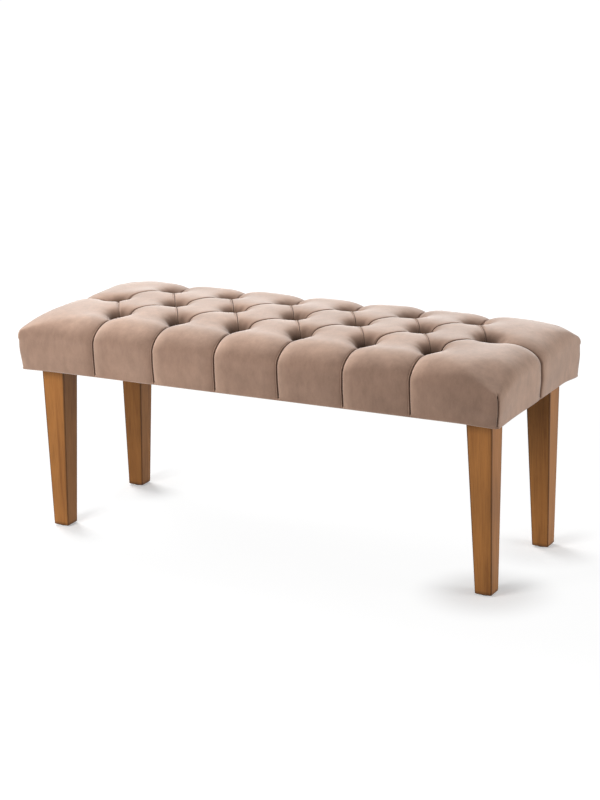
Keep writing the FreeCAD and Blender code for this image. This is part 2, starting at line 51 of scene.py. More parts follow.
PINE_LIGHT = (0.640, 0.430, 0.225, 1.0)
PINE_MID = (0.560, 0.345, 0.160, 1.0)
PINE_DARK = (0.400, 0.215, 0.085, 1.0)
GRAIN_AXIS_OF_RAIL = {
    "front_rail": 0, "back_rail": 0, "left_end_rail": 1, "right_end_rail": 1,
    "left_cross_rail": 1, "right_cross_rail": 1, "corner_block_front_left": 0,
    "corner_block_front_right": 0, "corner_block_back_left": 0, "corner_block_back_right": 0,
}


def node_adder(tree, prefix="ShaderNode"):
    """A function that adds a node of some kind to a tree, with its input values, links and settings."""

    def add(kind, values=None, links=None, **settings):
        node = tree.nodes.new(prefix + kind)
        for key, value in settings.items():
            setattr(node, key, value)
        for key, value in (values or {}).items():
            node.inputs[key].default_value = value
        for key, source in (links or {}).items():
            tree.links.new(source, node.inputs[key])
        return node

    return add


def new_finish(name, values=None):
    """A material, its principled shader, a function that adds a wired node, and its link function."""
    material = bpy.data.materials.new(name)
    material.use_nodes = True
    tree = material.node_tree
    tree.nodes.clear()
    add = node_adder(tree)
    shader = add("BsdfPrincipled", values)
    add("OutputMaterial", links={"Surface": shader.outputs["BSDF"]})
    return material, shader, add, tree.links.new


def grey(value):
    return (value, value, value, 1.0)


def shades(add, factor, stops):
    """A colour that runs through stops of position and colour as a factor grows."""
    node = add("ValToRGB", links={"Fac": factor})
    elements = node.color_ramp.elements
    while len(elements) > 1:
        elements.remove(elements[-1])
    elements[0].position, elements[0].color = stops[0]
    for position, colour in stops[1:]:
        elements.new(position).color = colour
    return node.outputs["Color"]


def tinted(add, link, colour, tint, share=1.0):
    """A colour, or a colour socket, multiplied by a tint."""
    node = add("Mix", {0: share}, data_type="RGBA", blend_type="MULTIPLY")
    if isinstance(colour, tuple):
        node.inputs[6].default_value = colour
    else:
        link(colour, node.inputs[6])
    link(tint, node.inputs[7])
    return node.outputs[2]


def noise(add, place, scale, detail, roughness=0.5, distortion=0.0):
    values = {"Scale": scale, "Detail": detail, "Roughness": roughness, "Distortion": distortion}
    return add("TexNoise", values, {"Vector": place}).outputs["Fac"]


def relief(add, link, shader, height, strength, distance):
    node = add("Bump", {"Strength": strength, "Distance": distance}, {"Height": height})
    link(node.outputs["Normal"], shader.inputs["Normal"])


def grained_wood(name, light, mid, dark, grain_axis, figure_scale, roughness, shift, pore_depth=0.45):
    """Straight-grained wood: long figure, fine pores along the grain and slow drifts of colour."""
    material, shader, add, link = new_finish(name)
    place = add("TexCoord").outputs["Object"]
    long_figure = [1.0, 1.0, 1.0]
    long_figure[grain_axis] = 0.05
    long_pores = [1.0, 1.0, 1.0]
    long_pores[grain_axis] = 0.02
    figure_place = add("Mapping", {"Scale": long_figure, "Location": shift}, {"Vector": place}).outputs[0]
    pore_place = add("Mapping", {"Scale": long_pores, "Location": shift}, {"Vector": place}).outputs[0]
    figure = noise(add, figure_place, figure_scale, 5.0, 0.62, 0.6)
    pores = noise(add, pore_place, 640.0, 3.0, 0.6)
    drift = noise(add, place, 7.0, 2.0)
    colour = shades(add, figure, [(0.30, dark), (0.44, mid), (0.60, light), (0.72, mid)])
    pore_shade = shades(add, pores, [(0.38, grey(0.55)), (0.50, grey(1.0))])
    pored = tinted(add, link, colour, pore_shade, pore_depth)
    drifted = tinted(add, link, pored, shades(add, drift, [(0.35, grey(0.88)), (0.65, grey(1.06))]))
    link(drifted, shader.inputs["Base Color"])
    polish = {"From Min": 0.3, "From Max": 0.7, "To Min": roughness + 0.1, "To Max": roughness}
    link(add("MapRange", polish, {"Value": pores}).outputs[0], shader.inputs["Roughness"])
    relief(add, link, shader, pores, 0.2, 0.0003)
    return material, shader, add, link, drifted


def dress(node, material):
    """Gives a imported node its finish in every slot."""
    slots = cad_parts[node].data.materials
    if not len(slots):
        slots.append(material)
    for i in range(len(slots)):
        slots[i] = material


for number, (rail, grain_axis) in enumerate(GRAIN_AXIS_OF_RAIL.items()):
    shift = (0.31 * number, 0.17 * number, 0.23 * number)
    pine = grained_wood("pine_" + rail, PINE_LIGHT, PINE_MID, PINE_DARK, grain_axis, 34.0, 0.62, shift)[0]
    dress(rail, pine)

# Screws, inserts and hanger bolts
# Zinc-plated steel: countersunk wood screws through the frame and the deck, and in each corner block a
# threaded insert that takes the leg's hanger bolt.

ZINC_LIGHT = (0.640, 0.640, 0.620, 1.0)
ZINC_DARK = (0.420, 0.425, 0.420, 1.0)

zinc, shader, add, link = new_finish("zinc_plate", {"Metallic": 1.0})
place = add("TexCoord").outputs["Object"]
clouds = noise(add, place, 240.0, 4.0, 0.6)
link(shades(add, clouds, [(0.3, ZINC_DARK), (0.7, ZINC_LIGHT)]), shader.inputs["Base Color"])
polish = add("MapRange", {"To Min": 0.28, "To Max": 0.5}, {"Value": clouds})
link(polish.outputs[0], shader.inputs["Roughness"])
relief(add, link, shader, clouds, 0.15, 0.0002)
for node in ["rail_screws", "cross_rail_screws", "corner_block_screws", "deck_screws", "threaded_inserts",
             "hanger_bolts"]:
    dress(node, zinc)

# Seat deck
# A board of five-ply birch, screwed down on the rails, with a small hole under each tuft for its
# twine. Its edge shows the plies as light and dark lines.

PLY_FACE_LIGHT = (0.690, 0.500, 0.290, 1.0)
PLY_FACE_MID = (0.620, 0.420, 0.225, 1.0)
PLY_FACE_DARK = (0.500, 0.310, 0.150, 1.0)
PLY_EDGE_DARK = (0.330, 0.190, 0.095, 1.0)
PLIES = 5

deck_low, deck_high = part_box("seat_deck")
plywood, shader, add, link, face_colour = grained_wood(
    "birch_plywood", PLY_FACE_LIGHT, PLY_FACE_MID, PLY_FACE_DARK, 0, 18.0, 0.6, (0.0, 0.0, 0.0))
height = add("SeparateXYZ", links={"Vector": add("TexCoord").outputs["Object"]}).outputs["Z"]
turns = add("MapRange", {"From Min": deck_low.z, "From Max": deck_high.z, "To Max": math.pi * PLIES},
            {"Value": height}).outputs[0]
plies = add("Math", links={0: turns}, operation="SINE").outputs[0]
edge_share = add("Math", {1: 0.5, 2: 0.5}, {0: plies}, operation="MULTIPLY_ADD").outputs[0]
edge_colour = shades(add, edge_share, [(0.35, PLY_EDGE_DARK), (0.65, PLY_FACE_LIGHT)])
upright = add("SeparateXYZ", links={"Vector": add("NewGeometry").outputs["Normal"]}).outputs["Z"]
flatness = add("Math", links={0: upright}, operation="ABSOLUTE").outputs[0]
face_or_edge = add("Mix", data_type="RGBA")
link(add("Math", {1: 0.5}, {0: flatness}, operation="GREATER_THAN").outputs[0], face_or_edge.inputs[0])
link(edge_colour, face_or_edge.inputs[6])
link(face_colour, face_or_edge.inputs[7])
link(face_or_edge.outputs[2], shader.inputs["Base Color"])
dress("seat_deck", plywood)

# Foam core
# One slab of cream polyurethane foam on the deck, cut flush with the rails and pinched down by the
# twine under every tuft. The form below, of pillows between pleats, is shared by all the soft layers.

FOAM_LIGHT = (0.800, 0.720, 0.440, 1.0)
FOAM_DARK = (0.640, 0.545, 0.290, 1.0)
FOAM_INSET = 0.0125  # from the outside of the cover
FOAM_INSET_PINCHED = 0.0050
FOAM_WIDENING = 0.008  # how much wider the pits are than in the cover

cover_low, cover_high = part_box("velvet_cover")
button_low, button_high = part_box("tuft_buttons")
BUTTON_RADIUS = 0.011
TUFTS_IN_MIDDLE_ROW = 7
SIDE_BULGE = 0.003  # how far the sides stand out above the drawn-in hem
BULGE_RISE = 0.045
SHOULDER_RISE = 0.066
SHOULDER_WIDTH = 0.066
SHOULDER_HEIGHT = 0.042
DOME_WIDTH = 0.087  # run over which the top rises from the shoulder to its full height
HEM_ROLL = 0.003
HEM_TURN = 0.033
HEM_TURN_LINES = (0.010, 0.018, 0.026, HEM_TURN)  # insets of the mesh's lines under the rails
SHOULDER_LINES = 20
SIDE_LINES = 18
HALF_LENGTH = cover_high.x - SIDE_BULGE
HALF_DEPTH = cover_high.y - SIDE_BULGE
HEM = cover_low.z
CROWN = cover_high.z
SHOULDER_TOP = HEM + SHOULDER_RISE + SHOULDER_HEIGHT
CROWN_INSET = SHOULDER_WIDTH - SIDE_BULGE
END_TUFT_X = button_high.x - BUTTON_RADIUS
ROW_Y = button_high.y - BUTTON_RADIUS
PITCH = 2 * END_TUFT_X / (TUFTS_IN_MIDDLE_ROW - 1)
MIDDLE_ROW = [END_TUFT_X - PITCH * i for i in range(TUFTS_IN_MIDDLE_ROW)][::-1]
OUTER_ROW = [x + PITCH / 2 for x in MIDDLE_ROW[:-1]]
TUFTS = [(x, 0.0) for x in MIDDLE_ROW] + [(x, y) for y in (-ROW_Y, ROW_Y) for x in OUTER_ROW]

CORNER_GROWTH = 0.090  # how much larger the corner radius gets over the shoulder
CORNER_EASE = 0.020  # inset over which most of that growth comes
CORNER_ROOM = 0.98  # share of a corner's shorter side that its radius may take
SMALLEST_CORNER = 0.002
CORNER_SAGS = {  # how much lower the cloth's top is at each corner, how far that reaches, and the hem's drop
    ("left", "front"): (0.0015, 0.040, 0.0018), ("right", "front"): (0.0200, 0.052, 0.0018),
    ("right", "back"): (0.0070, 0.028, 0.0065), ("left", "back"): (0.0010, 0.040, 0.0018),
}
CORNER_SAG_RISE = 0.060
CORNER_HEM_REACH = 0.048
HEM_DROP_RISE = 0.030  # the hem's drop fades out over this height and over this run under the rails
HEM_DROP_TURN = 0.010
SAG_SPREAD = 1.7  # a corner's smooth fall goes on to this many times its reach
CORNER_FOLD_TOP = 0.393
CORNER_FOLD_START = 0.006
CORNER_FOLD_DEPTH = 0.0055
CORNER_FOLD_REACH = 0.0016
CORNER_DIP_DEPTH = 0.0020  # softer dip beside the corner's fold
CORNER_DIP_REACH = 0.011

PIT_FLOOR = button_low.z + 0.0004
PIT_FLOOR_RADIUS = BUTTON_RADIUS + 0.0006
PIT_WALL = 0.0060  # run over which the cloth rises steeply round a button
PIT_RADIUS = 0.0165  # of the wider funnel above that wall
PIT_POWER = 3.35
PUCKER_DEPTH = 0.0005
PUCKERS = 9
PUCKER_PLACE = 0.024  # radius at which they are deepest
PUCKER_REACH = 0.008
PIT_RIM = 0.012  # pleats and waves fade out towards this radius
PIT_RIM_RUN = 0.009
TURNED_DOWN = 0.2  # upward part of the normal at which a pit has faded out over the shoulder
TURN_RUN = 0.6
DIAGONAL_SAG = 0.0009  # fall of the cloth towards a pleat between two tufts
DIAGONAL_REACH = 0.018
EDGE_SAG = 0.0085  # and towards a pleat that runs to the hem: on top
SIDE_SAG = 0.0032  # and on the sides
EDGE_REACH = 0.046
SIDE_REACH = 0.026
SAG_POWER = 2.4
SAG_START = 0.030  # run over which such a pleat deepens as it leaves its tuft
ROLL_DEPTH = 0.0012  # tighter roll of the cloth beside a pleat that runs to the hem
DIAGONAL_ROLL_DEPTH = 0.0007
ROLL_REACH = 0.0045
GAP_DEPTH = 0.0062  # slit at the bottom of a pleat
SIDE_GAP_DEPTH = 0.0048
GAP_REACH = 0.0009
FLAT_GAP_DEPTH = 0.0026  # the diagonals that are folded first lie flatter
FLAT_GAP_REACH = 0.0007
FLAT_SHADE_MARK = 0.35  # how much painted shade they get beside the other pleats
END_GAP_DEPTH = 0.0034  # the slits at the ends gape wider and deeper on the side
END_GAP_REACH = 0.0032
LIP_WIDTH = 0.0026  # folded edge of cloth that lies beside the slit
LIP_HEIGHT = 0.0011
LIP_GROOVE = 0.0006
LIP_GROOVE_REACH = 0.0006
LIP_GROOVE_PLACE = 1.15  # widths of the lip
# painted shade in the groove beside a lip
GROOVE_SHADE_MARK = 0.15
CREASE_PAINTED_SHADE = 0.75  # how dark a pleat gets beside a pit, as painted shade
UNEVEN_DEPTH = 0.0005  # of the slow waves that hand tufting leaves
UNEVEN_WAVES = [(31, 17, 5, 0.0), (-41, 23, 0, 1.3), (19, -29, 57, 0.0)]  # along x, y and z, and shift
CHANNEL_DEPTH = 0.0100  # of the soft channels in the layers below the cover
CHANNEL_REACH = 0.0050

ROWS_TO_CROWN = 12  # lines of a mesh between a tuft and the crown's edge
SAME_POINT = 3.17e-6  # grid on which the points of neighbouring pillows are matched
LAYER_STEPS = [0, 2, 5, 9, 14, 20, 27, 35, 44, 55, 66]  # millimetres from a pleat to each line of a mesh


def mirrored_shares(steps):
    """Shares from 0 to 1 of a span that are close together at both ends."""
    half = np.array(steps, float) / (2 * steps[-1])
    return np.concatenate([half, 1 - half[::-1][1:]])


def smooth(x):
    x = np.clip(x, 0.0, 1.0)
    return x * x * (3 - 2 * x)


def crown_height(x, y):
    """Height of the gently domed top inside the shoulder."""
    along = smooth((HALF_LENGTH - np.abs(x) - CROWN_INSET) / DOME_WIDTH)
    across = smooth((HALF_DEPTH - np.abs(y) - CROWN_INSET) / DOME_WIDTH)
    return SHOULDER_TOP + (CROWN - SHOULDER_TOP) * along * across


def edge_levels():
    """Inset, height and outward normal of each level, from the crown's edge down to the turned-in hem."""
    rows = []
    for angle in np.radians(np.linspace(90, 0, SHOULDER_LINES)):
        rows.append((SHOULDER_WIDTH * (1 - math.cos(angle)) - SIDE_BULGE,
                     SHOULDER_RISE + SHOULDER_HEIGHT * math.sin(angle)))
    for height in np.linspace(SHOULDER_RISE, HEM_ROLL, SIDE_LINES)[1:]:
        rows.append((-SIDE_BULGE * smooth(height / BULGE_RISE), height))
    for angle in np.radians((30, 60, 90)):
        rows.append((HEM_ROLL * (1 - math.cos(angle)), HEM_ROLL * (1 - math.sin(angle))))
    under = len(rows)
    for inset in HEM_TURN_LINES:
        rows.append((inset, 0.0))
    rows = np.array(rows)
    run = np.gradient(rows, axis=0)
    run /= np.linalg.norm(run, axis=1)[:, None]
    normals = np.stack([run[:, 1], -run[:, 0]], axis=1)
    normals[0] = (0.0, 1.0)
    normals[under:] = (0.0, -1.0)
    return rows[:, 0], HEM + rows[:, 1], normals[:, 0], normals[:, 1]


class Pillow:
    """A grid of points on the untufted seat with their outward normals, and the pleats at its borders.

    A corner's pillow also has each point's run from the corner's fold.
    """

    def __init__(self, points, normals, pleats, corner_run=None):
        self.points = points
        self.normals = normals
        self.pleats = pleats
        self.corner_run = corner_run

    def turned(self):
        """The same pillow on the opposite side of the seat."""
        flip = np.array([-1.0, -1.0, 1.0])
        pleats = [((-p[0], -p[1]), (-n[0], -n[1]), not lip if kind == "diagonal" else lip, kind)
                  for p, n, lip, kind in self.pleats]
        return Pillow(self.points * flip, self.normals * flip, pleats, self.corner_run)


def pleat(start, end, inside, lip, kind):
    """A pleat's start, its unit normal into the pillow, whether the lip is on this side, and its kind."""
    run = np.subtract(end, start)
    normal = np.array([-run[1], run[0]]) / np.hypot(*run)
    if np.dot(np.subtract(inside, start), normal) < 0:
        normal = -normal
    return start, tuple(normal), lip, kind


def diamond_pillow(left, shares):
    """The pillow between two middle tufts and the tufts in front of and behind them."""
    right = left + PITCH
    middle = left + PITCH / 2
    a, b = np.meshgrid(shares, shares, indexing="ij")
    x = left + (a + b) * PITCH / 2
    y = (b - a) * ROW_Y
    points = np.stack([x, y, crown_height(x, y)], axis=-1)
    normals = np.zeros_like(points)
    normals[..., 2] = 1.0
    front, back, centre = (middle, -ROW_Y), (middle, ROW_Y), (middle, 0.0)
    pleats = [
        pleat((left, 0.0), front, centre, False, "diagonal"),
        pleat(front, (right, 0.0), centre, True, "diagonal"),
        pleat((right, 0.0), back, centre, True, "diagonal"),
        pleat(back, (left, 0.0), centre, False, "diagonal"),
    ]
    return Pillow(points, normals, pleats)


def front_pillow(left, shares):
    """The pillow from a middle tuft forward, between two front pleats and down to the hem."""
    right = left + PITCH
    apex = left + PITCH / 2
    insets, heights, normal_in, normal_up = edge_levels()
    rows = []
    for share in shares:
        half = PITCH / 2 * share
        rows.append((apex - half, apex + half, -ROW_Y * share, crown_height(0.0, ROW_Y * share), 0.0, 1.0))
    for y in np.linspace(-ROW_Y, CROWN_INSET - HALF_DEPTH, ROWS_TO_CROWN)[1:]:
        rows.append((left, right, y, crown_height(0.0, y), 0.0, 1.0))
    for inset, height, n_in, n_up in zip(insets[1:], heights[1:], normal_in[1:], normal_up[1:]):
        rows.append((left, right, -HALF_DEPTH + inset, height, n_in, n_up))
    points = np.zeros((len(rows), len(shares), 3))
    normals = np.zeros_like(points)
    for i, (x0, x1, y, z, n_in, n_up) in enumerate(rows):
        points[i, :, 0] = x0 + (x1 - x0) * shares
        points[i, :, 1:] = (y, z)
        normals[i, :, 1:] = (n_in, n_up)
    inside = (apex, -ROW_Y)
    pleats = [
        pleat((apex, 0.0), (left, -ROW_Y), inside, False, "diagonal"),
        pleat((apex, 0.0), (right, -ROW_Y), inside, True, "diagonal"),
        pleat((left, -ROW_Y), (left, -HALF_DEPTH), inside, False, "side"),
        pleat((right, -ROW_Y), (right, -HALF_DEPTH), inside, True, "side"),
    ]
    return Pillow(points, normals, pleats)


def round_corner(start, corner, end, radius, shares):
    """Points and outward normals from start round a corner to end, and each point's run from the middle."""
    to_start = (start - corner) / np.linalg.norm(start - corner)
    to_end = (end - corner) / np.linalg.norm(end - corner)
    centre = corner + (to_start + to_end) * radius
    first = np.linalg.norm(start - corner) - radius
    last = np.linalg.norm(end - corner) - radius
    quarter = radius * math.pi / 2

    def at(run):
        if run <= first:
            return start - to_start * run, -to_end
        if run >= first + quarter:
            return corner + to_end * (radius + run - first - quarter), -to_start
        turn = (run - first) / radius
        normal = -to_end * math.cos(turn) - to_start * math.sin(turn)
        return centre + normal * radius, normal

    middle = first + quarter / 2
    total = first + quarter + last
    runs = np.concatenate([middle * shares, middle + (total - middle) * shares[1:]])
    found = [at(run) for run in runs]
    return np.array([f[0] for f in found]), np.array([f[1] for f in found]), runs - middle


def corner_pillow(side, shares, corner_radius, corner_sag):
    """The pillow at a front corner; side is -1 at the left and 1 at the right."""
    insets, heights, normal_in, normal_up = edge_levels()
    end_tuft = np.array([side * END_TUFT_X, 0.0])
    front_tuft = np.array([side * OUTER_ROW[-1], -ROW_Y])
    end_inset = HALF_LENGTH - END_TUFT_X
    front_inset = HALF_DEPTH - ROW_Y
    columns = 2 * len(shares) - 1
    spread = np.concatenate([shares * 0.5, 0.5 + shares[1:] * 0.5])
    nearest = [int(np.abs(shares - s).argmin()) for s in spread]
    for k in range(1, columns):
        nearest[k] = min(nearest[k], nearest[k - 1] + 1)  # no point of the diamonds' border is passed over
    for k in reversed(range(columns - 1)):
        nearest[k] = max(nearest[k], nearest[k + 1] - 1)
    line = end_tuft[None, :] + (front_tuft - end_tuft)[None, :] * shares[nearest][:, None]
    points = [np.column_stack([line, crown_height(line[:, 0], line[:, 1])])]
    normals = [np.tile([0.0, 0.0, 1.0], (columns, 1))]
    runs = [np.full(columns, 1.0)]
    reach, turned_in = [0.0], [0.0]
    levels = [(share, None) for share in np.linspace(0, 1, ROWS_TO_CROWN)[1:]]
    levels += [(1.0, k) for k in range(1, len(insets))]
    for share, k in levels:
        inset_x = insets[k] if k else end_inset + share * (CROWN_INSET - end_inset)
        inset_y = insets[k] if k else front_inset + share * (CROWN_INSET - front_inset)
        n_in, n_up = (normal_in[k], normal_up[k]) if k else (0.0, 1.0)
        growth = 1 - math.exp(-min(max(inset_x, 0.0), CROWN_INSET) / CORNER_EASE)
        radius = corner_radius + CORNER_GROWTH * growth
        low_down = k and heights[k] < HEM + HEM_ROLL
        if low_down:
            radius = max(corner_radius - inset_x, SMALLEST_CORNER)
        start = np.array([side * (HALF_LENGTH - inset_x), 0.0])
        corner = np.array([side * (HALF_LENGTH - inset_x), inset_y - HALF_DEPTH])
        end = np.array([front_tuft[0], inset_y - HALF_DEPTH])
        radius = min(radius, CORNER_ROOM * abs(corner[0] - end[0]), CORNER_ROOM * abs(corner[1]))
        level, outward, run = round_corner(start, corner, end, radius, shares)
        if k is None:
            straight = start[None, :] + (end - start)[None, :] * spread[:, None]
            level = straight + (level - straight) * smooth(share)
        height = np.full(columns, heights[k]) if k else crown_height(level[:, 0], level[:, 1])
        points.append(np.column_stack([level, height]))
        normals.append(np.column_stack([outward * -n_in, np.full(columns, n_up)]))
        runs.append(run)
        reach.append(smooth(share))
        turned_in.append(inset_x if low_down else 0.0)
    points, normals, runs = np.array(points), np.array(normals), np.array(runs)
    lift = smooth((points[..., 2] - HEM) / CORNER_SAG_RISE) * np.array(reach)[:, None]
    drop = 1 - smooth((points[..., 2] - HEM) / HEM_DROP_RISE)
    drop = drop * (1 - smooth(np.array(turned_in) / HEM_DROP_TURN))[:, None]
    sag, sag_reach, hem_drop = corner_sag
    from_corner = np.hypot(np.abs(points[..., 0]) - HALF_LENGTH, np.abs(points[..., 1]) - HALF_DEPTH)
    points[..., 2] -= sag * smooth(1 - from_corner / (SAG_SPREAD * sag_reach)) * lift
    points[..., 2] -= hem_drop * smooth(1 - np.abs(runs) / (SAG_SPREAD * CORNER_HEM_REACH)) * drop
    if side > 0:
        points, normals, runs = points[:, ::-1], normals[:, ::-1], -runs[:, ::-1]
    inside = (side * (END_TUFT_X + 0.02), -ROW_Y - 0.02)
    pleats = [
        pleat(tuple(end_tuft), tuple(front_tuft), inside, side < 0, "diagonal"),
        pleat(tuple(end_tuft), (side * HALF_LENGTH, 0.0), inside, side > 0, "end"),
        pleat(tuple(front_tuft), (front_tuft[0], -HALF_DEPTH), inside, side < 0, "side"),
    ]
    return Pillow(points, normals, pleats, runs)


def seat_pillows(steps, corner_radius):
    """All twenty pillows. The back ones are front ones turned half round, so their corners swap."""
    shares = mirrored_shares(steps)
    sides = [front_pillow(x, shares) for x in OUTER_ROW[:-1]]
    pillows = [diamond_pillow(x, shares) for x in MIDDLE_ROW[:-1]] + sides + [p.turned() for p in sides]
    for side, here, opposite in ((-1, "left", "right"), (1, "right", "left")):
        pillows.append(corner_pillow(side, shares, corner_radius, CORNER_SAGS[here, "front"]))
        pillows.append(corner_pillow(side, shares, corner_radius, CORNER_SAGS[opposite, "back"]).turned())
    return pillows


def pit_depth(x, y, top, widening):
    """How far the buttons draw a layer down, as a depth and a share, and how near the next pit is."""
    full = top - PIT_FLOOR
    drawn = np.zeros_like(x)
    ripples = np.zeros_like(x)
    nearest = np.full_like(x, 1.0)
    for number, (tuft_x, tuft_y) in enumerate(TUFTS):
        radius = np.maximum(np.hypot(x - tuft_x, y - tuft_y) - widening, 0.0)
        funnel = 1 / (1 + (radius / PIT_RADIUS) ** PIT_POWER)
        wall = 1 - smooth((radius - PIT_FLOOR_RADIUS) / PIT_WALL)
        drawn += np.maximum(funnel, wall)
        angle = np.arctan2(y - tuft_y, x - tuft_x)
        ripple = np.sin(PUCKERS * angle + 1.7 * number + 1.3 * np.sin(2 * angle + number))
        ripples += PUCKER_DEPTH * ripple * np.exp(-((radius - PUCKER_PLACE) / PUCKER_REACH) ** 2)
        nearest = np.minimum(nearest, radius)
    drawn = np.minimum(drawn, 1.0)
    return full * drawn + ripples, drawn, nearest


def cloth_depth(pillow, folds, widening):
    """How far the cloth lies inside the untufted seat, its share of a pit, and how much painted shade its
    creases get.
    """
    x, y, z = np.moveaxis(pillow.points, -1, 0)
    upward = pillow.normals[..., 2]
    side = np.clip(1 - upward, 0.0, 1.0)
    under = smooth(-upward)
    facing_up = smooth((upward - TURNED_DOWN) / TURN_RUN)
    pit, pit_share, nearest = pit_depth(x, y, z, widening)
    out_of_pit = smooth((nearest - PIT_RIM) / PIT_RIM_RUN)
    gap = GAP_DEPTH + (SIDE_GAP_DEPTH - GAP_DEPTH) * side
    sag = np.zeros_like(x)
    narrow = np.zeros_like(x)
    painted_crease_shade = np.zeros_like(x)
    closest = np.full_like(x, 1.0)
    for point, normal, lip, kind in pillow.pleats:
        distance = np.maximum((x - point[0]) * normal[0] + (y - point[1]) * normal[1], 0.0)
        gap_depth, gap_reach, fall, reach = gap, GAP_REACH, DIAGONAL_SAG, DIAGONAL_REACH
        if kind != "diagonal":
            beyond = np.abs(x) - END_TUFT_X if kind == "end" else np.abs(y) - ROW_Y
            fall = (EDGE_SAG + (SIDE_SAG - EDGE_SAG) * side) * smooth(beyond / SAG_START)
            reach = EDGE_REACH + (SIDE_REACH - EDGE_REACH) * side
        if kind == "end":
            gap_depth = gap + END_GAP_DEPTH * side
            gap_reach = GAP_REACH + (END_GAP_REACH - GAP_REACH) * side
        sag = np.maximum(sag, fall * (1 - np.clip(distance / reach, 0.0, 1.0)) ** SAG_POWER)
        flat = kind == "diagonal" and normal[0] * normal[1] > 0
        if flat:
            gap_depth, gap_reach = FLAT_GAP_DEPTH, FLAT_GAP_REACH
        roll = DIAGONAL_ROLL_DEPTH if kind == "diagonal" else ROLL_DEPTH
        profile = roll * np.exp(-distance / ROLL_REACH)
        mark = np.zeros_like(x)
        if not folds:
            profile = profile + CHANNEL_DEPTH * np.exp(-(distance / CHANNEL_REACH) ** 2)
        else:
            slit = np.exp(-(distance / gap_reach) ** 2)
            profile = profile + gap_depth * slit
            # painted shade in the slit
            mark = FLAT_SHADE_MARK * slit if flat else slit
        if folds and lip:
            bead = np.sin(np.pi * np.clip(distance / LIP_WIDTH, 0.0, 1.0))
            groove = np.exp(-((distance - LIP_GROOVE_PLACE * LIP_WIDTH) / LIP_GROOVE_REACH) ** 2)
            profile = profile + LIP_GROOVE * groove - LIP_HEIGHT * bead
            mark = np.maximum(mark, GROOVE_SHADE_MARK * groove)
        narrow = np.where(distance < closest, profile, narrow)
        painted_crease_shade = np.where(distance < closest, mark, painted_crease_shade)
        closest = np.minimum(closest, distance)
    uneven = sum(np.sin(a * x + b * y + c * z + shift) for a, b, c, shift in UNEVEN_WAVES)
    depth = sag + narrow * out_of_pit + pit * facing_up + UNEVEN_DEPTH * uneven * out_of_pit
    if pillow.corner_run is not None:
        below = smooth((CORNER_FOLD_TOP - z) / CORNER_FOLD_START)
        depth += CORNER_DIP_DEPTH * np.exp(-(pillow.corner_run / CORNER_DIP_REACH) ** 2) * below
        if not folds:
            depth += 0.5 * CHANNEL_DEPTH * np.exp(-(pillow.corner_run / CHANNEL_REACH) ** 2) * below
        else:
            # the fold shapes the cloth, and the same mark paints shade into it
            mark = np.exp(-(pillow.corner_run / CORNER_FOLD_REACH) ** 2) * below
            depth += CORNER_FOLD_DEPTH * mark
            painted_crease_shade = np.maximum(painted_crease_shade, mark)
    return depth * (1 - under), pit_share * facing_up, painted_crease_shade * (1 - under)


def soft_skin(pillows, folds, inset, pinched_inset, widening):
    """A layer's outside: its points, their inward normals and pit shares, their painted shade in pits and
    creases, and its faces.
    """
    points, inward, painted_shades, faces, first = [], [], [], [], 0
    for pillow in pillows:
        depth, pit_share, painted_crease_shade = cloth_depth(pillow, folds, widening)
        deeper = depth + inset + (pinched_inset - inset) * pit_share
        place = pillow.points - pillow.normals * deeper[..., None]
        points.append(place.reshape(-1, 3))
        inward.append(np.concatenate([-pillow.normals, pit_share[..., None]], axis=-1).reshape(-1, 4))
        # painted shade, darker in the pits and in the slits
        painted_shades.append(np.clip(pit_share + CREASE_PAINTED_SHADE * painted_crease_shade, 0.0, 1.0).reshape(-1))
        rows, columns = depth.shape
        grid = first + np.arange(rows * columns).reshape(rows, columns)
        corners = np.stack([grid[:-1, :-1], grid[1:, :-1], grid[1:, 1:], grid[:-1, 1:]], axis=-1)
        faces.append(corners.reshape(-1, 4))
        first += rows * columns
    points = np.concatenate(points)
    cells = np.round(points / SAME_POINT).astype(np.int64)
    kept, where = np.unique(cells, axis=0, return_index=True, return_inverse=True)[1:]
    where = where.reshape(-1)
    joined = [tuple(dict.fromkeys(corners)) for corners in where[np.concatenate(faces)].tolist()]
    joined = [face for face in joined if len(face) > 2]
    folded = Counter(frozenset(face) for face in joined)
    joined = [face for face in joined if folded[frozenset(face)] == 1]
    return points[kept], np.concatenate(inward)[kept], np.concatenate(painted_shades)[kept], joined


def open_edges(faces):
    """Directed edges that only one face has."""
    edges = {edge for face in faces for edge in zip(face, face[1:] + face[:1])}
    return [(a, b) for a, b in edges if (b, a) not in edges]


def in_scene(name, data):
    thing = bpy.data.objects.new(name, data)
    bpy.context.scene.collection.objects.link(thing)
    return thing


def soft_piece(name, vertices, faces, material):
    mesh = bpy.data.meshes.new(name)
    mesh.from_pydata(vertices.tolist(), [], faces)
    mesh.update()
    mesh.polygons.foreach_set("use_smooth", [True] * len(mesh.polygons))
    mesh.materials.append(material)
    piece = in_scene(name, mesh)
    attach(piece, "root")
    return piece


def thick_layer(name, skin, thickness, pinched_thickness, material):
    """A closed layer: the skin, the same skin further in, and a rim along the hem."""
    points, inward, painted_shades, faces = skin
    depth = thickness + (pinched_thickness - thickness) * inward[:, 3]
    inner = points + inward[:, :3] * depth[:, None]
    total = len(points)
    closed = faces + [tuple(i + total for i in face[::-1]) for face in faces]
    closed += [(b, a, a + total, b + total) for a, b in open_edges(faces)]
    piece = soft_piece(name, np.concatenate([points, inner]), closed, material)
    # the painted shade is stored on the points for the velvet to read
    pull = piece.data.attributes.new("pull", "FLOAT", "POINT")
    pull.data.foreach_set("value", np.concatenate([painted_shades, painted_shades]))
    return piece


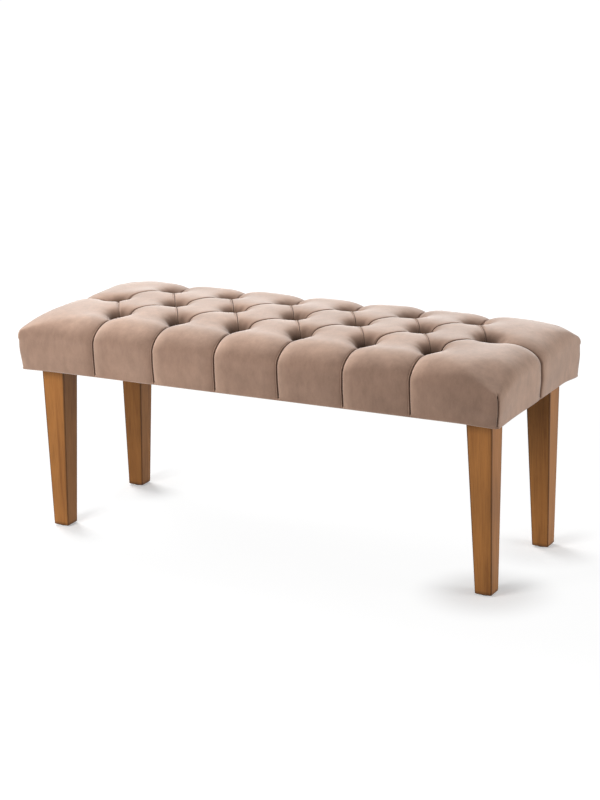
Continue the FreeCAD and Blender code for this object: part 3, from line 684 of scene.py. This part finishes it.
foam_finish, shader, add, link = new_finish("polyurethane_foam", {"Roughness": 0.95})
place = add("TexCoord").outputs["Object"]
cells = add("TexVoronoi", {"Scale": 900.0}, {"Vector": place}).outputs["Distance"]
age = noise(add, place, 5.0, 3.0)
foam_colour = shades(add, age, [(0.3, FOAM_DARK), (0.6, FOAM_LIGHT)])
cell_shade = shades(add, cells, [(0.1, grey(0.8)), (0.5, grey(1.0))])
link(tinted(add, link, foam_colour, cell_shade), shader.inputs["Base Color"])
relief(add, link, shader, cells, 0.5, 0.0005)

LAYER_CORNER_RADIUS = 0.022
layer_pillows = seat_pillows(LAYER_STEPS, LAYER_CORNER_RADIUS)
points, inward, painted_shades, faces = soft_skin(layer_pillows, False, FOAM_INSET, FOAM_INSET_PINCHED, FOAM_WIDENING)
points[:, 2] = np.maximum(points[:, 2], deck_high.z)
faces = [face for face in faces if max(points[i][2] for i in face) > deck_high.z + 1e-6]
after = dict(open_edges(faces))
bottom = [min(after)]
while after[bottom[-1]] != bottom[0]:
    bottom.append(after[bottom[-1]])
foam = soft_piece("tufted_foam_slab", points, faces + [tuple(bottom[::-1])], foam_finish)
merged = bmesh.new()
merged.from_mesh(foam.data)
bmesh.ops.remove_doubles(merged, verts=merged.verts, dist=1e-5)
bmesh.ops.dissolve_degenerate(merged, edges=merged.edges, dist=1e-6)
bmesh.ops.delete(merged, geom=[v for v in merged.verts if not v.link_faces], context="VERTS")
merged.to_mesh(foam.data)
merged.free()
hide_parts("foam_core")

# Fibre wadding
# A layer of white polyester wadding over the foam and down the rails, which rounds the cushion off.
# It is thick between the tufts and pressed thin under the buttons.

WADDING_LIGHT = (0.860, 0.860, 0.840, 1.0)
WADDING_DARK = (0.640, 0.640, 0.620, 1.0)
WADDING_INSET = 0.0015
WADDING_THICKNESS = 0.0108
WADDING_PINCHED = 0.0030
WADDING_WIDENING = 0.005

wadding_finish, shader, add, link = new_finish("polyester_wadding", {"Roughness": 1.0, "Sheen Weight": 0.3})
place = add("TexCoord").outputs["Object"]
fibres = noise(add, place, 420.0, 6.0, 0.75, 2.5)
link(shades(add, fibres, [(0.35, WADDING_DARK), (0.62, WADDING_LIGHT)]), shader.inputs["Base Color"])
relief(add, link, shader, fibres, 0.6, 0.0006)

points, inward, painted_shades, faces = soft_skin(layer_pillows, False, WADDING_INSET, WADDING_INSET, WADDING_WIDENING)
above_hem = [face for face in faces if min(points[i][2] for i in face) > HEM + HEM_ROLL]
used = sorted({i for face in above_hem for i in face})
renamed = {old: new for new, old in enumerate(used)}
above_hem = [tuple(renamed[i] for i in face) for face in above_hem]
wadding = thick_layer("fibre_wadding_layer", (points[used], inward[used], painted_shades[used], above_hem),
                      WADDING_THICKNESS, WADDING_PINCHED, wadding_finish)
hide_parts("fibre_wadding")

# Velvet cover
# One piece of taupe velvet, drawn down by the buttons, pleated by hand along the diamonds and stapled
# under the rails. Its folded edges lie beside each pleat, and its pile catches the light; its colour also has
# a painted sheen where it is seen from the side, and painted shade in its pits and slits.

VELVET = (0.304, 0.191, 0.138, 1.0)
SHEEN_TINT = (1.0, 0.93, 0.89, 1.0)
PAINTED_SHEEN_RISE = (1.85, 1.95, 2.00, 1.0)  # painted sheen: how much paler the colour is painted where the pile is seen from the side
VELVET_THICKNESS = 0.0013
CORNER_RADIUS = 0.008
PLEAT_STEPS = [0, 0.3, 0.6, 0.95, 1.35, 1.8, 2.25, 2.65, 3.0, 3.35, 3.8, 4.6, 6, 8, 11, 14, 18, 22, 27, 32,
               37, 42, 48, 54, 60, 66]

velvet, shader, add, link = new_finish("taupe_velvet", {
    "Roughness": 0.9, "Specular IOR Level": 0.15, "Sheen Roughness": 0.40, "Sheen Tint": SHEEN_TINT})
place = add("TexCoord").outputs["Object"]
nap = noise(add, place, 10.0, 4.0, 0.6)
stroke_place = add("Mapping", {"Scale": (1.0, 1.0, 0.45)}, {"Vector": place}).outputs[0]
strokes = noise(add, stroke_place, 60.0, 6.0, 0.72)
pile = noise(add, place, 1500.0, 2.0)
# painted shade: the velvet is darker in the pits and slits
pull = add("Attribute", attribute_name="pull").outputs["Fac"]
colour = tinted(add, link, VELVET, shades(add, nap, [(0.30, grey(0.87)), (0.70, grey(1.11))]))
colour = tinted(add, link, colour, shades(add, strokes, [(0.32, grey(0.88)), (0.68, grey(1.11))]))
colour = tinted(add, link, colour, shades(add, pile, [(0.30, grey(0.93)), (0.70, grey(1.05))]))
colour = tinted(add, link, colour, shades(add, pull, [(0.03, grey(1.0)), (0.66, grey(0.22))]))
# painted sheen: the base colour gets paler where the surface is seen from the side
painted_sheen_facing = add("LayerWeight", {"Blend": 0.5}).outputs["Facing"]
colour = tinted(add, link, colour, shades(add, painted_sheen_facing, [(0.12, grey(1.0)), (0.64, PAINTED_SHEEN_RISE)]))
link(colour, shader.inputs["Base Color"])
# the painted shade also turns the sheen down in the pits and slits
link(shades(add, pull, [(0.05, grey(1.0)), (0.70, grey(0.10))]), shader.inputs["Sheen Weight"])
relief(add, link, shader, pile, 0.3, 0.0003)

cover_skin = soft_skin(seat_pillows(PLEAT_STEPS, CORNER_RADIUS), True, 0.0, 0.0, 0.0)
cover = thick_layer("tufted_velvet_cover", cover_skin, VELVET_THICKNESS, VELVET_THICKNESS, velvet)
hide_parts("velvet_cover")

# Covered buttons
# Nineteen domed buttons covered in the same velvet, stretched tight. Each sits at the bottom of its
# pit, and its twine runs down through the seat to a washer under the deck.

BUTTON_DOME = button_high.z - button_low.z
BUTTON_RINGS = 12
BUTTON_SIDES = 28
BUTTON_ROUNDNESS = 0.75  # lower makes the dome flatter on top
BUTTON_PAINTED_SHADE = 0.10  # painted shade on the buttons at the bottom of their pits


def button_tree():
    tree = bpy.data.node_groups.new("covered_buttons", "GeometryNodeTree")
    tree.interface.new_socket("Geometry", in_out="INPUT", socket_type="NodeSocketGeometry")
    for name in ("Radius", "Height", "PaintedShade"):
        tree.interface.new_socket(name, in_out="INPUT", socket_type="NodeSocketFloat")
    tree.interface.new_socket("Velvet", in_out="INPUT", socket_type="NodeSocketMaterial")
    tree.interface.new_socket("Geometry", in_out="OUTPUT", socket_type="NodeSocketGeometry")
    math_node, shape_node = node_adder(tree), node_adder(tree, "GeometryNode")
    given = node_adder(tree, "")("NodeGroupInput").outputs
    ball = shape_node("MeshUVSphere", {"Segments": BUTTON_SIDES, "Rings": BUTTON_RINGS},
                      {"Radius": given["Radius"]})
    place = math_node("SeparateXYZ", links={"Vector": shape_node("InputPosition").outputs[0]}).outputs
    share = math_node("Math", links={0: place["Z"], 1: given["Radius"]}, operation="DIVIDE")
    above = math_node("Math", {1: 0.0}, {0: share.outputs[0]}, operation="MAXIMUM")
    domed = math_node("Math", {1: BUTTON_ROUNDNESS}, {0: above.outputs[0]}, operation="POWER")
    rise = math_node("Math", links={0: domed.outputs[0], 1: given["Height"]}, operation="MULTIPLY")
    domed_place = math_node("CombineXYZ", links={"X": place["X"], "Y": place["Y"], "Z": rise.outputs[0]})
    button = shape_node("SetPosition",
                        links={"Geometry": ball.outputs["Mesh"], "Position": domed_place.outputs[0]})
    # painted shade on each button, read by the velvet
    stretched = shape_node("StoreNamedAttribute", {"Name": "pull"},
                           {"Geometry": button.outputs[0], "Value": given["PaintedShade"]},
                           data_type="FLOAT", domain="POINT")
    placed = shape_node("InstanceOnPoints",
                        links={"Points": given["Geometry"], "Instance": stretched.outputs[0]})
    real = shape_node("RealizeInstances", links={0: placed.outputs[0]})
    covered = shape_node("SetMaterial", links={"Geometry": real.outputs[0], "Material": given["Velvet"]})
    node_adder(tree, "")("NodeGroupOutput", links={0: covered.outputs[0]})
    return tree


def grown_on_points(name, places, tree, values):
    """A plain mesh piece that a node tree grows on points."""
    point_mesh = bpy.data.meshes.new(name + "_points")
    point_mesh.from_pydata(places, [], [])
    carrier = in_scene(name + "_points", point_mesh)
    modifier = carrier.modifiers.new(name, "NODES")
    modifier.node_group = tree
    sockets = {item.name: item.identifier for item in tree.interface.items_tree if item.in_out == "INPUT"}
    for key, value in values.items():
        modifier[sockets[key]] = value
    grown = bpy.data.meshes.new_from_object(carrier.evaluated_get(bpy.context.evaluated_depsgraph_get()))
    carrier.modifiers.remove(modifier)
    bpy.data.objects.remove(carrier)
    grown.name = name
    piece = in_scene(name, grown)
    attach(piece, "root")
    return piece


buttons = grown_on_points(
    "velvet_covered_buttons", [(x, y, button_low.z) for x, y in TUFTS], button_tree(),
    {"Radius": BUTTON_RADIUS, "Height": BUTTON_DOME, "PaintedShade": BUTTON_PAINTED_SHADE, "Velvet": velvet})
buttons.data.polygons.foreach_set("use_smooth", [True] * len(buttons.data.polygons))
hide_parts("tuft_buttons")

# Twine and tie washers
# Waxed button twine, laid up from strands, and the black nylon washer that each tie is knotted under.

TWINE_LIGHT = (0.700, 0.610, 0.450, 1.0)
TWINE_DARK = (0.430, 0.350, 0.230, 1.0)
TWINE_LAY = math.radians(38)
NYLON_BLACK = (0.012, 0.012, 0.013, 1.0)
NYLON_WORN = (0.040, 0.040, 0.042, 1.0)

twine, shader, add, link = new_finish("waxed_twine", {"Roughness": 0.6})
place = add("TexCoord").outputs["Object"]
lay = add("Mapping", {"Rotation": (0.0, TWINE_LAY, 0.0)}, {"Vector": place}).outputs[0]
strands = add("TexWave", {"Scale": 520.0, "Distortion": 1.5, "Detail": 2.0}, {"Vector": lay},
              bands_direction="Z").outputs["Fac"]
link(shades(add, strands, [(0.1, TWINE_DARK), (0.7, TWINE_LIGHT)]), shader.inputs["Base Color"])
relief(add, link, shader, strands, 0.6, 0.0003)
dress("tufting_twine", twine)

nylon, shader, add, link = new_finish("black_nylon")
place = add("TexCoord").outputs["Object"]
scuffs = noise(add, place, 180.0, 5.0, 0.65)
link(shades(add, scuffs, [(0.45, NYLON_BLACK), (0.72, NYLON_WORN)]), shader.inputs["Base Color"])
polish = add("MapRange", {"To Min": 0.38, "To Max": 0.62}, {"Value": scuffs})
link(polish.outputs[0], shader.inputs["Roughness"])
relief(add, link, shader, scuffs, 0.15, 0.0002)
dress("tie_washers", nylon)

# Cover staples
# The turned-in hem is stapled up into the rails all round with zinc-plated wire staples.

dress("cover_staples", zinc)

# Dust cover
# A sheet of black spun-bonded cloth, stretched over the bottom of the frame and stapled along its
# edge. It hides the deck's underside and the ties.

DUST_CLOTH = (0.016, 0.016, 0.017, 1.0)
DUST_CLOTH_PALE = (0.050, 0.050, 0.052, 1.0)
DUST_SAG = 0.0014
DUST_RIPPLE = 0.0004
DUST_THICKNESS = 0.0006
DUST_EDGE = 0.022  # stapled flat this far in
DUST_SLACK_RUN = 0.10  # from there to the full slack
DUST_UNDER_RAILS = 0.0001
DUST_COLUMNS, DUST_ROWS = 163, 63
LEG_CENTRE = (0.4485, 0.1405)
LEG_TOP_HALF = 0.0250
LEG_MARGIN = 0.002  # the sheet is flat this far round a leg
LEG_SLACK_RUN = 0.03

dust_finish, shader, add, link = new_finish("spun_bonded_cloth", {"Roughness": 0.85, "Sheen Weight": 0.2})
place = add("TexCoord").outputs["Object"]
fibres = noise(add, place, 900.0, 4.0, 0.7)
bonds = add("TexVoronoi", {"Scale": 700.0}, {"Vector": place}, distance="CHEBYCHEV").outputs["Distance"]
cloth_colour = shades(add, fibres, [(0.35, DUST_CLOTH), (0.70, DUST_CLOTH_PALE)])
bond_shade = shades(add, bonds, [(0.15, grey(0.6)), (0.4, grey(1.0))])
link(tinted(add, link, cloth_colour, bond_shade), shader.inputs["Base Color"])
relief(add, link, shader, bonds, 0.4, 0.0003)

dust_low, dust_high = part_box("dust_cover")
x, y = np.meshgrid(np.linspace(dust_low.x, dust_high.x, DUST_COLUMNS),
                   np.linspace(dust_low.y, dust_high.y, DUST_ROWS), indexing="ij")
from_edge = np.minimum(dust_high.x - np.abs(x), dust_high.y - np.abs(y))
from_leg = np.maximum(np.abs(np.abs(x) - LEG_CENTRE[0]), np.abs(np.abs(y) - LEG_CENTRE[1])) - LEG_TOP_HALF
slack = smooth((from_edge - DUST_EDGE) / DUST_SLACK_RUN) * smooth((from_leg - LEG_MARGIN) / LEG_SLACK_RUN)
ripple = np.sin(83 * x + 3 * np.sin(17 * y)) * np.sin(71 * y + 2 * np.sin(13 * x))
z = dust_high.z - DUST_UNDER_RAILS - (DUST_SAG + DUST_RIPPLE * ripple) * slack
grid = np.arange(x.size).reshape(x.shape)
faces = np.stack([grid[:-1, :-1], grid[:-1, 1:], grid[1:, 1:], grid[1:, :-1]], axis=-1).reshape(-1, 4)
dust_sheet = soft_piece("dust_cover_sheet", np.stack([x, y, z], axis=-1).reshape(-1, 3), faces.tolist(),
                        dust_finish)
wall = dust_sheet.modifiers.new("cloth_thickness", "SOLIDIFY")
wall.thickness = DUST_THICKNESS
wall.offset = 1.0
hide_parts("dust_cover")
dress("dust_cover_staples", zinc)

# Legs
# Four square hardwood legs, tapered on all faces, with eased arrises and a chamfered foot. Each screws
# up into its corner block on its hanger bolt. The wood is darker along the arrises, and painted shade darkens
# each foot.

LEGS = ["leg_front_left", "leg_front_right", "leg_back_left", "leg_back_right"]
STAIN_LIGHT = (0.420, 0.172, 0.044, 1.0)
STAIN_MID = (0.360, 0.144, 0.035, 1.0)
STAIN_DARK = (0.265, 0.098, 0.023, 1.0)
LEG_FOOT_HALF = 0.0165
LEG_SPLAY = 0.0055
LEG_TUCK = 0.0010


def stained_leg(name, number):
    """The stained wood of one leg, darker along its own tapering arrises, with painted shade at its foot."""
    low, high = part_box(name)
    shift = (0.37 * number, 0.21 * number, 0.0)
    material, shader, add, link, colour = grained_wood(
        name + "_stain", STAIN_LIGHT, STAIN_MID, STAIN_DARK, 2, 52.0, 0.45, shift, 0.35)
    top_x, top_y = (low.x + high.x) / 2, (low.y + high.y) / 2
    foot_x = top_x + math.copysign(LEG_SPLAY, top_x)
    foot_y = top_y - math.copysign(LEG_TUCK, top_y)
    place = add("SeparateXYZ", links={"Vector": add("TexCoord").outputs["Object"]})

    def along_leg(at_foot, at_top):
        return add("MapRange", {"From Min": low.z, "From Max": high.z, "To Min": at_foot, "To Max": at_top},
                   {"Value": place.outputs["Z"]}).outputs[0]

    half = along_leg(LEG_FOOT_HALF, LEG_TOP_HALF)
    shares = []
    for axis, at_foot, at_top in (("X", foot_x, top_x), ("Y", foot_y, top_y)):
        middle = along_leg(at_foot, at_top)
        offset = add("Math", links={0: place.outputs[axis], 1: middle}, operation="SUBTRACT")
        size = add("Math", links={0: offset.outputs[0]}, operation="ABSOLUTE")
        shares.append(add("Math", links={0: size.outputs[0], 1: half}, operation="DIVIDE").outputs[0])
    to_arris = add("Math", links={0: shares[0], 1: shares[1]}, operation="MINIMUM").outputs[0]
    edged = tinted(add, link, colour, shades(add, to_arris, [(0.84, grey(1.0)), (0.93, grey(0.40))]))
    # painted shade at the foot, darkest on its underside
    foot_painted_shade = [(0.0, grey(0.45)), (0.012, grey(0.62)), (0.022, grey(1.0))]
    foot_painted = tinted(add, link, edged, shades(add, along_leg(0.0, 1.0), foot_painted_shade))
    link(foot_painted, shader.inputs["Base Color"])
    shader.inputs["Specular IOR Level"].default_value = 0.25
    return material


for number, leg in enumerate(LEGS):
    dress(leg, stained_leg(leg, number))

# Foot glides
# A black nylon disc nailed under each foot.

dress("foot_glides", nylon)

# Studio
# A large plain white floor under an even white surround, lit by three soft lamps.

CAMERA_PLACE = Vector((1.815, -3.406, 1.385))
CAMERA_YAW = math.radians(-27.96)
CAMERA_PITCH = math.radians(16.07)
CAMERA_ROLL = math.radians(-1.15)
FOCAL_PIXELS = 2089.3
PICTURE_HEIGHT = 800
SENSOR = 36.0

camera_data = bpy.data.cameras.new("camera")
camera_data.sensor_width = SENSOR
camera_data.lens = FOCAL_PIXELS * SENSOR / PICTURE_HEIGHT
camera = in_scene("camera", camera_data)
forward = Vector((math.sin(CAMERA_YAW) * math.cos(CAMERA_PITCH),
                  math.cos(CAMERA_YAW) * math.cos(CAMERA_PITCH), -math.sin(CAMERA_PITCH)))
level_right = Vector((math.cos(CAMERA_YAW), -math.sin(CAMERA_YAW), 0.0))
level_up = level_right.cross(forward)
right = level_right * math.cos(CAMERA_ROLL) + level_up * math.sin(CAMERA_ROLL)
up = level_up * math.cos(CAMERA_ROLL) - level_right * math.sin(CAMERA_ROLL)
camera.matrix_world = Matrix.Translation(CAMERA_PLACE) @ Matrix((right, up, -forward)).transposed().to_4x4()
bpy.context.scene.camera = camera
bpy.context.scene.view_settings.view_transform = "Standard"

LAMPS = [  # place, target, width in metres and power in watts
    ("key_lamp", (-2.6, 1.4, 3.3), (0.0, 0.0, 0.35), 1.8, 108.0),
    ("front_lamp", (-0.6, -1.6, 1.0), (-0.1, 0.0, 0.35), 0.8, 22.5),
    ("end_lamp", (2.9, 0.2, 0.8), (0.4, 0.0, 0.35), 1.2, 28.0),
]
for name, place, target, width, power in LAMPS:
    lamp_data = bpy.data.lights.new(name, "AREA")
    lamp_data.shape = "SQUARE"
    lamp_data.size = width
    lamp_data.energy = power
    lamp = in_scene(name, lamp_data)
    lamp.location = place
    lamp.rotation_mode = "QUATERNION"
    lamp.rotation_quaternion = (Vector(target) - Vector(place)).to_track_quat("-Z", "Y")

FLOOR_BOUNCE = 0.42  # how much light the floor sends back to the seat
FOOT_PLACE = (0.454, 0.1395, 0.0)
FLOOR_NEAR_FEET = (0.75, 0.33)  # how strongly the seen floor takes light and shadow, and how much it glows
FLOOR_FURTHER = (0.14, 0.90)
FEET_REACH = (0.03, 0.15)  # where the one passes into the other
FLOOR_FADE = (0.8, 1.8)  # and where the floor passes into the surround
FLOOR_HALF = 12.0

floor_mesh = bpy.data.meshes.new("floor")
built = bmesh.new()
bmesh.ops.create_grid(built, x_segments=1, y_segments=1, size=FLOOR_HALF)
built.to_mesh(floor_mesh)
built.free()
floor = in_scene("floor", floor_mesh)


def seen_ray(add):
    """1 on rays that show a surface, straight or in something glossy or clear, and 0 on those for light."""
    rays = add("LightPath").outputs
    indirect = {0: rays["Is Glossy Ray"], 1: rays["Is Transmission Ray"]}
    glossy_or_clear = add("Math", links=indirect, operation="MAXIMUM").outputs[0]
    return add("Math", links={0: rays["Is Camera Ray"], 1: glossy_or_clear}, operation="MAXIMUM").outputs[0]


floor_finish, shader, add, link = new_finish(
    "white_floor", {"Roughness": 1.0, "Specular IOR Level": 0.0, "Emission Color": grey(1.0)})
seen = seen_ray(add)
place = add("TexCoord").outputs["Object"]
mirrored_place = add("VectorMath", links={0: place}, operation="ABSOLUTE").outputs[0]
from_foot = add("VectorMath", {1: FOOT_PLACE}, {0: mirrored_place}, operation="DISTANCE").outputs["Value"]
from_middle = add("VectorMath", links={0: place}, operation="LENGTH").outputs["Value"]


def by_distance(distance, reach, at_near, at_far):
    values = {"From Min": reach[0], "From Max": reach[1], "To Min": at_near, "To Max": at_far}
    return add("MapRange", values, {"Value": distance}, interpolation_type="SMOOTHSTEP").outputs[0]


takes_shadow = by_distance(from_foot, FEET_REACH, FLOOR_NEAR_FEET[0], FLOOR_FURTHER[0])
near_glow = by_distance(from_foot, FEET_REACH, FLOOR_NEAR_FEET[1], FLOOR_FURTHER[1])
far_glow = by_distance(from_middle, FLOOR_FADE, 0.0, 1.0 - FLOOR_FURTHER[1])
glow = add("Math", links={0: near_glow, 1: far_glow}, operation="ADD").outputs[0]
reflectance = add("Mix", {2: FLOOR_BOUNCE}, {0: seen, 3: takes_shadow})
link(reflectance.outputs[0], shader.inputs["Base Color"])
seen_glow = add("Math", links={0: seen, 1: glow}, operation="MULTIPLY")
link(seen_glow.outputs[0], shader.inputs["Emission Strength"])
from_below = add("NewGeometry").outputs["Backfacing"]  # the seat's underside can be looked at through it
clear = add("BsdfTransparent").outputs[0]
floor_surface = add("MixShader", links={0: from_below, 1: shader.outputs[0], 2: clear}).outputs[0]
link(floor_surface, floor_finish.node_tree.nodes["Material Output"].inputs["Surface"])
floor_mesh.materials.append(floor_finish)

WORLD_LIGHT = 0.28
world = bpy.data.worlds.new("studio")
bpy.context.scene.world = world
world.use_nodes = True
world.node_tree.nodes.clear()
add = node_adder(world.node_tree)
strength = add("MapRange", {"To Min": WORLD_LIGHT, "To Max": 1.0}, {"Value": seen_ray(add)}).outputs[0]
background = add("Background", {"Color": grey(1.0)}, {"Strength": strength}).outputs[0]
add("OutputWorld", links={"Surface": background})
